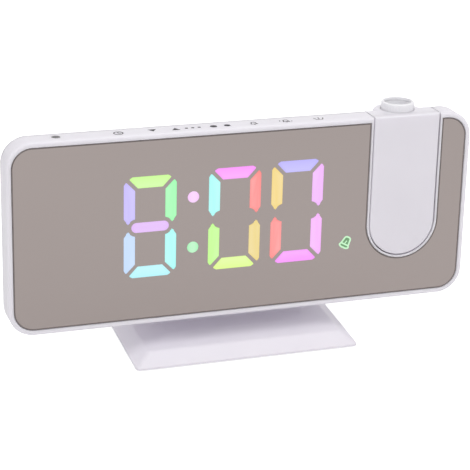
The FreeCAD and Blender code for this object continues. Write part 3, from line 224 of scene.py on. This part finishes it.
def new_material(name):
    """A node material with one Principled shader, its tree, and that shader."""
    material, tree, surface = new_tree(name)
    shader = tree.nodes.new("ShaderNodeBsdfPrincipled")
    tree.links.new(shader.outputs["BSDF"], surface)
    return material, tree, shader


def add_node(tree, kind, **values):
    """A node of a kind: each value goes to the input of its name, or else to the node's setting."""
    node = tree.nodes.new(kind)
    for name, value in values.items():
        if name.title() in node.inputs:
            node.inputs[name.title()].default_value = value
        else:
            setattr(node, name, value)
    return node


def noise(tree, scale, detail, roughness=0.5):
    """Noise fixed to the piece: a value from 0 to 1 at each place in its own coordinates."""
    where = tree.nodes.new("ShaderNodeTexCoord").outputs["Object"]
    node = add_node(tree, "ShaderNodeTexNoise", scale=scale, detail=detail, roughness=roughness)
    tree.links.new(where, node.inputs["Vector"])
    return node.outputs["Fac"]


def spread(tree, value, low, high):
    """A value from 0 to 1, spread over low to high."""
    node = tree.nodes.new("ShaderNodeMapRange")
    node.inputs["To Min"].default_value = low
    node.inputs["To Max"].default_value = high
    tree.links.new(value, node.inputs["Value"])
    return node.outputs["Result"]


def mottled(name, low, high, scale, rough=(0.4, 0.5), grain=3000.0, bump=0.02, metal=0.0,
            subsurface=0.0):
    """A finish whose colour drifts between two tones, with a fine grain in its height and gloss."""
    material, tree, shader = new_material(name)
    tone = tree.nodes.new("ShaderNodeValToRGB")
    for stop, place, colour in zip(tone.color_ramp.elements, (0.3, 0.7), (low, high)):
        stop.position = place
        stop.color = (*linear(colour), 1)
    tree.links.new(noise(tree, scale, 3.0), tone.inputs["Fac"])
    tree.links.new(tone.outputs["Color"], shader.inputs["Base Color"])
    fine = noise(tree, grain, 2.0, 0.6)
    tree.links.new(spread(tree, fine, *rough), shader.inputs["Roughness"])
    height = tree.nodes.new("ShaderNodeBump")
    height.inputs["Strength"].default_value = 0.3
    height.inputs["Distance"].default_value = bump * MM
    tree.links.new(fine, height.inputs["Height"])
    tree.links.new(height.outputs["Normal"], shader.inputs["Normal"])
    shader.inputs["Metallic"].default_value = metal
    shader.inputs["IOR"].default_value = 1.46
    if subsurface:
        shader.inputs["Subsurface Weight"].default_value = subsurface
        shader.inputs["Subsurface Radius"].default_value = (1.0, 1.0, 1.0)
        shader.inputs["Subsurface Scale"].default_value = 2.5 * MM
    return material


def glowing(name):
    """Light from the display: its colour is the piece's own colour attribute."""
    material, tree, shader = new_material(name)
    colour = tree.nodes.new("ShaderNodeAttribute")
    colour.attribute_name = "light"
    tree.links.new(colour.outputs["Color"], shader.inputs["Emission Color"])
    shader.inputs["Base Color"].default_value = (0.02, 0.02, 0.02, 1)
    shader.inputs["Specular IOR Level"].default_value = 0.0
    shader.inputs["Roughness"].default_value = 0.6
    shader.inputs["Emission Strength"].default_value = 1.0
    return material


def clear(name, tint, through):
    """A smooth lens plastic with a faint tint; through is the share of light that passes."""
    material, tree, shader = new_material(name)
    tree.links.new(spread(tree, noise(tree, 400.0, 2.0), 0.02, 0.07), shader.inputs["Roughness"])
    shader.inputs["Base Color"].default_value = (*linear(tint), 1)
    shader.inputs["Transmission Weight"].default_value = through
    shader.inputs["IOR"].default_value = 1.49
    return material


# Each finish: its darker and lighter tone, the drift's scale, its gloss, its grain and grain height
WHITE = mottled("white_case_plastic", (230, 226, 234), (233, 230, 237), 40.0, (0.34, 0.42), 2600.0,
                0.012, subsurface=0.6)
# The arm's front: the case's white made a shade darker, as painted shade on that face; the arm's
# rear keeps the case's white
ARM_SHADED_WHITE = mottled("shaded_white_arm_plastic", (229, 225, 233), (232, 228, 236), 40.0, (0.36, 0.44),
                    2600.0, 0.012, subsurface=0.6)
FOOT_WHITE = mottled("white_foot_plastic", (233, 229, 238), (236, 232, 240), 40.0, (0.40, 0.5),
                     2200.0, 0.02)
# The projector's paler plastic, made whiter still as painted light so the ring's shaded inner wall
# and the lens tube look lit
RING_WHITE_LIT = mottled("white_ring_plastic_painted_light", (240, 239, 243), (243, 242, 246), 60.0, (0.30, 0.38),
                     2600.0, 0.01, subsurface=0.3)
KEY_WHITE = mottled("white_key_plastic", (226, 223, 229), (230, 227, 233), 90.0, (0.45, 0.55),
                    3000.0, 0.02)
MIRROR = mottled("smoked_mirror", (163, 153, 150), (165, 155, 152), 12.0, (0.05, 0.07), 900.0,
                 0.0004, metal=1.0)
# The mirror's dark edge, made darker still as painted shade of the gap round the mirror
EDGE_AND_GAP_SHADE = mottled("mirror_edge_and_gap_shade", (116, 107, 105), (124, 115, 113), 300.0, (0.4, 0.5), 3000.0,
               0.002)
BLACK = mottled("black_mask_plastic", (22, 22, 24), (28, 28, 30), 200.0, (0.6, 0.7), 2400.0, 0.02)
SMOKED = mottled("smoked_sensor_lens", (46, 42, 46), (58, 53, 57), 300.0, (0.12, 0.2), 2400.0,
                 0.004)
RUBBER = mottled("grey_rubber", (62, 62, 64), (72, 72, 74), 250.0, (0.75, 0.85), 1800.0, 0.03)
STEEL = mottled("nickelled_steel", (176, 176, 178), (192, 192, 194), 500.0, (0.24, 0.34), 3500.0,
                0.004, metal=1.0)
BRASS = mottled("brass_contact", (196, 166, 104), (208, 178, 116), 500.0, (0.26, 0.36), 3500.0,
                0.004, metal=1.0)
BOARD = mottled("green_circuit_board", (28, 84, 52), (36, 96, 60), 300.0, (0.35, 0.5), 2500.0,
                0.006)
CHIP = mottled("chip_epoxy", (30, 30, 32), (40, 40, 42), 500.0, (0.5, 0.65), 4000.0, 0.01)
PAPER = mottled("black_speaker_paper", (34, 33, 34), (44, 43, 44), 400.0, (0.85, 0.95), 3000.0,
                0.04)
LAMP = mottled("lamp_resin", (240, 236, 214), (250, 246, 226), 500.0, (0.3, 0.4), 3000.0, 0.004)
PRINT = mottled("dark_pad_print", (40, 37, 44), (52, 48, 56), 900.0, (0.5, 0.65), 4000.0, 0.004)
GLASS = clear("lens_acrylic", (246, 246, 250), 0.9)
MILKY_GLASS = clear("hazed_lens_acrylic", (250, 249, 252), 0.35)
LIGHT = glowing("segment_light")

FINISH = {
    WHITE: "front_frame rear_cover arm_rear cell_cover",
    ARM_SHADED_WHITE: "arm_front",
    FOOT_WHITE: "foot_shell foot_plate",
    RING_WHITE_LIT: "focus_ring lens_tube lens_cell",
    KEY_WHITE: "key_set key_down key_up key_dimmer key_alarm_one key_alarm_two key_projector",
    MIRROR: "mirror_panel",
    BLACK: "segment_mask lcd_carrier speaker_basket usb_contacts",
    SMOKED: "light_sensor lcd_panel",
    RUBBER: "foot_pads",
    STEEL: "board_screws power_screws case_screws neck_screws arm_pins usb_socket power_inlet "
           "speaker_magnet foot_weight coin_cell",
    BRASS: "cell_contact",
    BOARD: "display_board power_board projector_board",
    CHIP: "board_chips key_switches",
    PAPER: "speaker_cone",
    LAMP: "display_lamps projector_lamp segment_diffusers",
    GLASS: "condenser_lens",
    MILKY_GLASS: "projection_lens",
}
for material, names in FINISH.items():
    for name in names.split():
        slots = nodes[name].data.materials
        slots.clear()
        slots.append(material)


# ---------------------------------------------------------------- mesh building
def grid_faces(rows, columns, wrap_rows):
    """Quads of a grid whose columns go round, joined row to row.

    wrap_rows also joins the last row to the first.
    """
    row = np.arange(rows if wrap_rows else rows - 1)[:, None]
    column = np.arange(columns)[None, :]
    next_row = (row + 1) % rows
    next_column = (column + 1) % columns
    quads = [row * columns + column, row * columns + next_column,
             next_row * columns + next_column, next_row * columns + column]
    return np.stack(quads, -1).reshape(-1, 4)


def ring_part(rings, wrap=False):
    """Rings of points joined into a closed skin: its points and its arrays of faces.

    The skin is capped at both ends or, if wrap, joined end to end. Its signed volume, the sum of
    a . (b x c) over its triangles, says which way the faces turn; they end up facing outward.
    """
    rings = np.asarray(rings, float)
    rows, columns, _ = rings.shape
    faces = [grid_faces(rows, columns, wrap)]
    if not wrap:
        cap = np.arange(columns)[None]
        faces += [cap[:, ::-1], cap + (rows - 1) * columns]
    points = rings.reshape(-1, 3)
    volume = sum(np.einsum("nk,nmk->", points[f[:, 0]],
                           np.cross(points[f[:, 1:-1]], points[f[:, 2:]])) for f in faces)
    if volume < 0:
        faces = [f[:, ::-1] for f in faces]
    return points, faces


def piece(name, parts, material, colours=None):
    """A mesh object on the case, from parts and their finish.

    colours, if given, is one linear colour a point, kept as the attribute "light".
    """
    starts = np.cumsum([0] + [len(points) for points, _ in parts])
    faces = [face for (_, arrays), start in zip(parts, starts)
             for array in arrays for face in (array + start).tolist()]
    mesh = bpy.data.meshes.new(name)
    mesh.from_pydata(np.concatenate([points for points, _ in parts]).tolist(), [], faces)
    mesh.materials.append(material)
    if colours is not None:
        attribute = mesh.attributes.new("light", "FLOAT_COLOR", "POINT")
        rgba = np.concatenate([colours, np.ones((len(colours), 1))], 1)
        attribute.data.foreach_set("color", rgba.astype(np.float32).ravel())
    obj = bpy.data.objects.new(name, mesh)
    bpy.context.scene.collection.objects.link(obj)
    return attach(obj, "case")


def inset(outline, depth):
    """A closed outline moved inwards by depth: each point along the mean of its sides' normals."""
    before = outline - np.roll(outline, 1, 0)
    after = np.roll(outline, -1, 0) - outline
    normal = np.stack([before[:, 1] + after[:, 1], -before[:, 0] - after[:, 0]], 1)
    normal /= np.linalg.norm(normal, axis=1)[:, None]
    x, z = outline.T
    area = (x * np.roll(z, -1) - z * np.roll(x, -1)).sum()
    return outline - normal * depth * np.sign(area)


def rounded(corners, radius, steps=5):
    """A polygon with each corner p replaced by a curve that starts and ends one tangent length off.

    The tangent length is radius / tan(half the corner's angle), at most 0.45 of a side. The curve
    is (1 - t)^2 start + 2 t (1 - t) p + t^2 end, with t from 0 to 1 in steps.
    """
    corners = np.asarray(corners, float)
    to_last = np.roll(corners, 1, 0) - corners
    to_next = np.roll(corners, -1, 0) - corners
    last_length = np.linalg.norm(to_last, axis=1, keepdims=True)
    next_length = np.linalg.norm(to_next, axis=1, keepdims=True)
    to_last /= last_length
    to_next /= next_length
    half = np.arccos(np.clip((to_last * to_next).sum(1, keepdims=True), -1, 1)) / 2
    reach = np.minimum(radius / np.tan(half), 0.45 * np.minimum(last_length, next_length))
    start = (corners + to_last * reach)[:, None]
    end = (corners + to_next * reach)[:, None]
    t = np.linspace(0, 1, steps)[:, None]
    curves = (1 - t) ** 2 * start + 2 * t * (1 - t) * corners[:, None] + t ** 2 * end
    return curves.reshape(-1, 2)


def arc(middle, radius, start, end, count=12):
    """Points along part of a circle, from one angle to another, in degrees."""
    turn = np.radians(np.linspace(start, end, count))
    return np.stack([middle[0] + radius * np.cos(turn), middle[1] + radius * np.sin(turn)], 1)


def circle(middle, radius, count=24):
    """Points round a circle, anticlockwise."""
    return arc(middle, radius, 0, 360, count + 1)[:-1]


def turned(points, degrees):
    """Points turned anticlockwise about the origin."""
    a = math.radians(degrees)
    turn = np.array([[math.cos(a), math.sin(a)], [-math.sin(a), math.cos(a)]])
    return np.asarray(points, float) @ turn


def on_front(outline, y):
    """An outline in X and Z on the case's front at the depth y, in the row frame."""
    return leaned(np.stack([outline[:, 0], np.full(len(outline), y), outline[:, 1]], 1))


def on_top(outline, height):
    """An outline in X and Y on the case's top, lifted by height, in the row frame."""
    level = np.full(len(outline), TOP_Z + height)
    return leaned(np.stack([outline[:, 0], outline[:, 1], level], 1))


def stroke(path, width, low, high, place, closed=False):
    """A flat ribbon of one width along a path: a rectangle carried along it, square to its run."""
    path = np.asarray(path, float)
    if closed:
        run = np.roll(path, -1, 0) - np.roll(path, 1, 0)
    else:
        run = np.gradient(path, axis=0)
    run /= np.linalg.norm(run, axis=1)[:, None]
    side = np.stack([-run[:, 1], run[:, 0]], 1) * width / 2
    rings = [place(path - side, low), place(path + side, low),
             place(path + side, high), place(path - side, high)]
    return ring_part(np.stack(rings, 1), wrap=closed)


# ---------------------------------------------------------------- light of the display
def bar():
    """Outline of a digit's top segment: long outside, short inside."""
    top = DIGIT_H / 2
    shoulder = top - BAR_SHOULDER_DROP
    inside = top - BAR_H
    return rounded([(-BAR_OUTER_HALF, top), (BAR_OUTER_HALF, top), (BAR_SHOULDER_HALF, shoulder),
                    (BAR_INNER_HALF, inside), (-BAR_INNER_HALF, inside),
                    (-BAR_SHOULDER_HALF, shoulder)], SEGMENT_ROUND)


def post():
    """Outline of a digit's upper right segment: mitred on top, hollowed round the middle bar."""
    outer, inner = DIGIT_W / 2, DIGIT_W / 2 - POST_W
    tip_z = DIGIT_H / 2 - POST_TIP_DROP
    start = math.degrees(math.acos((inner - CAPSULE_X) / HOLLOW_R))
    end = math.degrees(math.asin(POST_LOW / HOLLOW_R))
    hollow = arc((CAPSULE_X, 0), HOLLOW_R, start, end, 9)
    corners = [(outer, POST_LOW + POST_SIDE_RISE), (outer, tip_z - POST_TIP_H),
               (outer - POST_TIP_W, tip_z), (inner, tip_z - POST_MITRE_DROP)]
    return rounded(np.concatenate([hollow, corners]), SEGMENT_ROUND, 4)


def middle_bar():
    """Outline of a digit's middle segment: a bar with round ends."""
    right = arc((CAPSULE_X, 0), CAPSULE_R, -90, 90, 13)
    return np.concatenate([right, -right])


def lit(outline, middle, colour, size=1.0):
    """A lit plate in the mirror's face and its points' colours, palest at the plate's middle.

    The colour's share at a point is RIM_TINT times its ring's fall, plus END_TINT times the
    distance along the plate, as a share of its half length, to the END_POWER.
    """
    outline = outline * size
    low, high = outline.min(0), outline.max(0)
    along = int(high[1] - low[1] > high[0] - low[0])
    half = (high - low)[along] / 2
    centre = (high + low)[along] / 2
    rings = [inset(outline, depth) for depth in RIM_INSETS]
    depths = [BEHIND_Y, LIT_Y, LIT_Y - LIT_STEP, LIT_Y - LIT_STEP]
    part = ring_part(np.stack([on_front(r + middle, y) for r, y in zip(rings, depths)]))
    far = np.clip(np.abs(np.concatenate(rings)[:, along] - centre) / half, 0, 1)[:, None]
    rim = np.repeat(RIM_FALL, len(outline))[:, None]
    own = linear(colour)
    share = np.clip(RIM_TINT * rim + END_TINT * far ** END_POWER, 0, 1)
    return part, (own + (1 - own) * PALER) * (1 - share) + own * share


def even(part, colour):
    """A part with one colour at all its points."""
    return part, np.tile(linear(colour), (len(part[0]), 1))


def lit_piece(name, plates):
    """Lit plates, each a part with its points' colours, as one piece."""
    parts, colours = zip(*plates)
    piece(name, parts, LIGHT, np.concatenate(colours))


def make_digits():
    """The lit segments of the three digits, and the colon."""
    shapes = {
        "top": bar(), "bottom": bar() * (1, -1), "middle": middle_bar(),
        "upper_right": post(), "upper_left": post() * (-1, 1),
        "lower_right": post() * (1, -1), "lower_left": post() * (-1, -1),
    }
    for name, middle, size, segments in DIGITS:
        lit_piece("lit_digit_" + name, [lit(shapes[where], middle, colour, size)
                                        for where, colour in segments.items()])
    lit_piece("lit_colon", [lit(circle((0, 0), COLON_R, 28), middle, colour)
                            for middle, colour in COLON_DOTS])


def make_bell():
    """The lit bell: its outline and two lines over a dim middle."""
    outline = rounded(LIT_BELL_CORNERS, LIT_BELL_ROUND, 6)
    lines = [(outline, LIT_BELL_LINE_W, True)]
    lines += [(path, width, False) for path, width in LIT_BELL_LINES]
    plates = [even(stroke(turned(path, LIT_BELL_TILT_DEG) + LIT_BELL_AT, width, BEHIND_Y, LIT_Y,
                          on_front, closed), LIT_BELL_COLOUR) for path, width, closed in lines]
    inside = turned(outline, LIT_BELL_TILT_DEG) + LIT_BELL_AT
    dim = ring_part(np.stack([on_front(inside, y) for y in (BEHIND_Y, LIT_Y + LIT_STEP)]))
    lit_piece("lit_bell", plates + [even(dim, LIT_BELL_MIDDLE)])


# ---------------------------------------------------------------- dark edge of the mirror, with painted shade of its gap
def mirror_edge(inward):
    """The mirror's outline moved inwards: a rounded oblong with the slot's U cut from its top."""
    half_w = MIRROR_HALF_W - inward
    half_h = MIRROR_HALF_H - inward
    r = MIRROR_R - inward
    slot = MIRROR_SLOT_HALF + inward
    x, z = half_w - r, half_h - r
    return np.concatenate([
        [(ARM_X - slot, half_h)], arc((ARM_X, SLOT_ROUND_Z), slot, 180, 360, 32),
        [(ARM_X + slot, half_h)], arc((x, z), r, 90, 0), arc((x, -z), r, 0, -90),
        arc((-x, -z), r, -90, -180), arc((-x, z), r, 180, 90)])


def make_edge():
    """The dark band at the mirror's edge, partly painted shade of its gap: a rectangle carried
    round the outline.
    """
    outer = mirror_edge(EDGE_IN)
    inner = mirror_edge(EDGE_IN + EDGE_W)
    rings = [on_front(outer, BEHIND_Y), on_front(inner, BEHIND_Y), on_front(inner, LIT_Y),
             on_front(outer, LIT_Y)]
    piece("mirror_edge_and_gap_shade_band", [ring_part(np.stack(rings, 1), wrap=True)], EDGE_AND_GAP_SHADE)


# ---------------------------------------------------------------- printed marks on the top
def ink(outline, middle=(0, 0)):
    """A solid printed shape on the top, round its middle."""
    outline = np.asarray(outline, float) + middle
    return ring_part(np.stack([on_top(outline, INK_LOW), on_top(outline, INK_HIGH)]))


def line(path, width, middle=(0, 0), closed=False):
    """A printed line on the top, round its middle."""
    path = np.asarray(path, float) + middle
    return stroke(path, width, INK_LOW, INK_HIGH, on_top, closed)


def bell_path():
    """A bell's outline: a round dome on straight sides that flare to the rim, closed along it."""
    dome = arc((0, 0.18), 0.30, 0, 180, 20)
    left = np.array([(-0.33, 0.0), (-0.38, -0.18), (-0.50, -0.32)])
    return np.concatenate([dome, left, left[::-1] * (-1, 1)]) * BELL_SIZE


def make_marks():
    """The marks over the keys: clock, down, up, dots, disc, moon, bell, ringing bell, beam."""
    arrow = np.array(ARROW)
    moon = np.concatenate([arc((0, 0), MOON_R, 45, 315, 19),
                           arc((MOON_BITE_X, 0), MOON_BITE_R, 300, 60, 17)])
    marks = [ink(arrow, DOWN_AT), ink(arrow * (1, -1), UP_AT), ink(circle(DISC_AT, DISC_R)),
             ink(moon, MOON_AT)]
    marks += [line(bell_path(), MARK_LINE_W, middle, closed=True) for middle in BELLS_AT]
    marks += [ink(circle(middle, CLAPPER_R, 12)) for middle in CLAPPERS_AT]
    marks += [line(circle(CLOCK_AT, CLOCK_R, 28), CLOCK_LINE_W, closed=True),
              line(CLOCK_HANDS, CLOCK_LINE_W, CLOCK_AT)]
    marks += [ink(circle(middle, DOT_R, 16)) for middle in DOTS_AT]
    marks += [line(arc(RINGING_AT[0], RINGING_R, 322.5, 352.5, 5), RINGING_LINE_W),
              line(arc(RINGING_AT[1], RINGING_R, 150, 187.5, 6), RINGING_LINE_W)]
    marks += [line(BEAM_FUNNEL, MARK_LINE_W, BEAM_AT), line(BEAM_MIDDLE, MARK_LINE_W, BEAM_AT)]
    piece("printed_marks", marks, PRINT)


make_digits()
make_bell()
make_edge()
make_marks()


# ---------------------------------------------------------------- studio
def either(tree, first, second):
    """The larger of two values."""
    node = add_node(tree, "ShaderNodeMath", operation="MAXIMUM")
    tree.links.new(first, node.inputs[0])
    tree.links.new(second, node.inputs[1])
    return node.outputs[0]


def floor_material():
    """A pale matt surface that also glows to the camera, and a little in mirrors."""
    material, tree, surface = new_tree("pale_floor")
    matt = tree.nodes.new("ShaderNodeBsdfDiffuse")
    matt.inputs["Color"].default_value = (FLOOR_GREY, FLOOR_GREY, FLOOR_GREY, 1)
    glow = tree.nodes.new("ShaderNodeEmission")
    ray = tree.nodes.new("ShaderNodeLightPath").outputs
    faint = add_node(tree, "ShaderNodeMath", operation="MULTIPLY")
    tree.links.new(either(tree, ray["Is Glossy Ray"], ray["Is Transmission Ray"]), faint.inputs[0])
    faint.inputs[1].default_value = FLOOR_MIRRORED_GLOW
    level = add_node(tree, "ShaderNodeMath", operation="MULTIPLY_ADD")
    tree.links.new(ray["Is Camera Ray"], level.inputs[0])
    level.inputs[1].default_value = FLOOR_SEEN_GLOW
    tree.links.new(faint.outputs[0], level.inputs[2])
    tree.links.new(level.outputs[0], glow.inputs["Strength"])
    both = tree.nodes.new("ShaderNodeAddShader")
    tree.links.new(matt.outputs[0], both.inputs[0])
    tree.links.new(glow.outputs[0], both.inputs[1])
    tree.links.new(both.outputs[0], surface)
    return material


def make_floor():
    """A large pale square on the table's level."""
    mesh = bpy.data.meshes.new("floor")
    r = FLOOR_REACH
    mesh.from_pydata([(-r, -r, 0), (r, -r, 0), (r, r, 0), (-r, r, 0)], [], [(0, 1, 2, 3)])
    mesh.materials.append(floor_material())
    floor = bpy.data.objects.new("floor", mesh)
    bpy.context.scene.collection.objects.link(floor)


def make_world():
    """A white backdrop for the camera and for mirrors, and an even grey light for all else."""
    world = bpy.data.worlds.new("studio")
    bpy.context.scene.world = world
    world.use_nodes = True
    tree = world.node_tree
    tree.nodes.clear()
    output = tree.nodes.new("ShaderNodeOutputWorld")
    background = tree.nodes.new("ShaderNodeBackground")
    background.inputs["Color"].default_value = (1, 1, 1, 1)
    ray = tree.nodes.new("ShaderNodeLightPath").outputs
    seen = either(tree, either(tree, ray["Is Camera Ray"], ray["Is Glossy Ray"]),
                  ray["Is Transmission Ray"])
    tree.links.new(spread(tree, seen, BACKDROP_FILL, 1.0), background.inputs["Strength"])
    tree.links.new(background.outputs[0], output.inputs["Surface"])


def make_lamps():
    """The square area lamps, each facing its target."""
    for name, place, target, size, watts, mirrored in LAMPS:
        data = bpy.data.lights.new(name, "AREA")
        data.size = size
        data.energy = watts
        lamp = bpy.data.objects.new(name, data)
        bpy.context.scene.collection.objects.link(lamp)
        back = np.array(place, float) - target
        back /= np.linalg.norm(back)
        right = np.cross((0.02, 1.0, 0.1), back)
        right /= np.linalg.norm(right)
        lamp.matrix_world = placed(right, np.cross(back, right), back, place)
        lamp.visible_glossy = mirrored


make_floor()
make_world()
make_lamps()
bpy.context.scene.view_settings.view_transform = "Standard"
